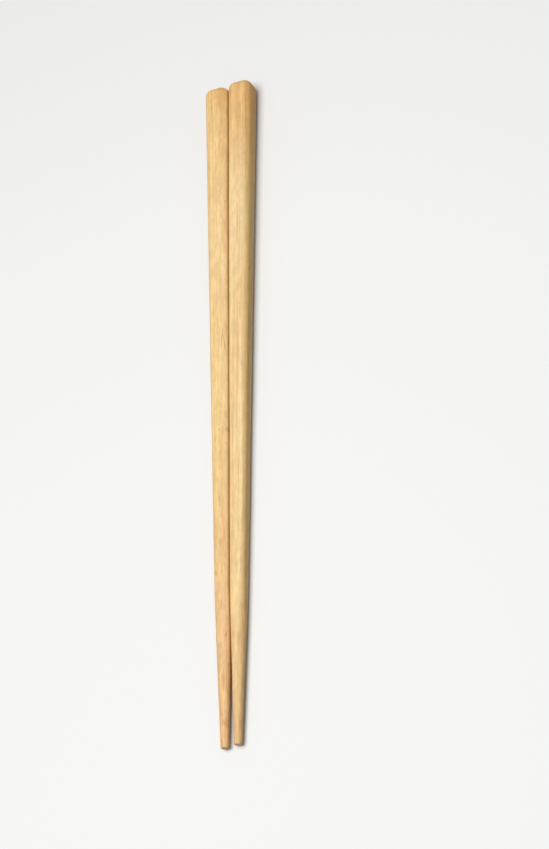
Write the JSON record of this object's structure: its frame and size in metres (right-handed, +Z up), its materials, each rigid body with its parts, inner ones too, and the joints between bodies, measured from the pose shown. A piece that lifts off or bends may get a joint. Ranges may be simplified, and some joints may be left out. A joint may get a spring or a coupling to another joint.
{
  "type": "pair of wooden chopsticks",
  "caption": "Pair of plain wooden chopsticks lying side by side: square handles with well rounded edges, tapering to turned, blunt round tips.",
  "frame": {"origin": "on the surface that the sticks lie on, at the middle of the pair's outline, between the two inner flats", "axes": "+Y along the sticks towards the handle ends, so the tips point to -Y; +X from the left stick to the right one; +Z up"},
  "size_m": [0.0166, 0.2255, 0.0083],
  "materials": {
    "pale_wood": "smooth sanded, unvarnished, with fine lengthwise grain and a soft satin sheen"
  },
  "bodies": {
    "root": {"chopstick_left": "pale_wood", "chopstick_right": "pale_wood"}
  },
  "joints": []
}
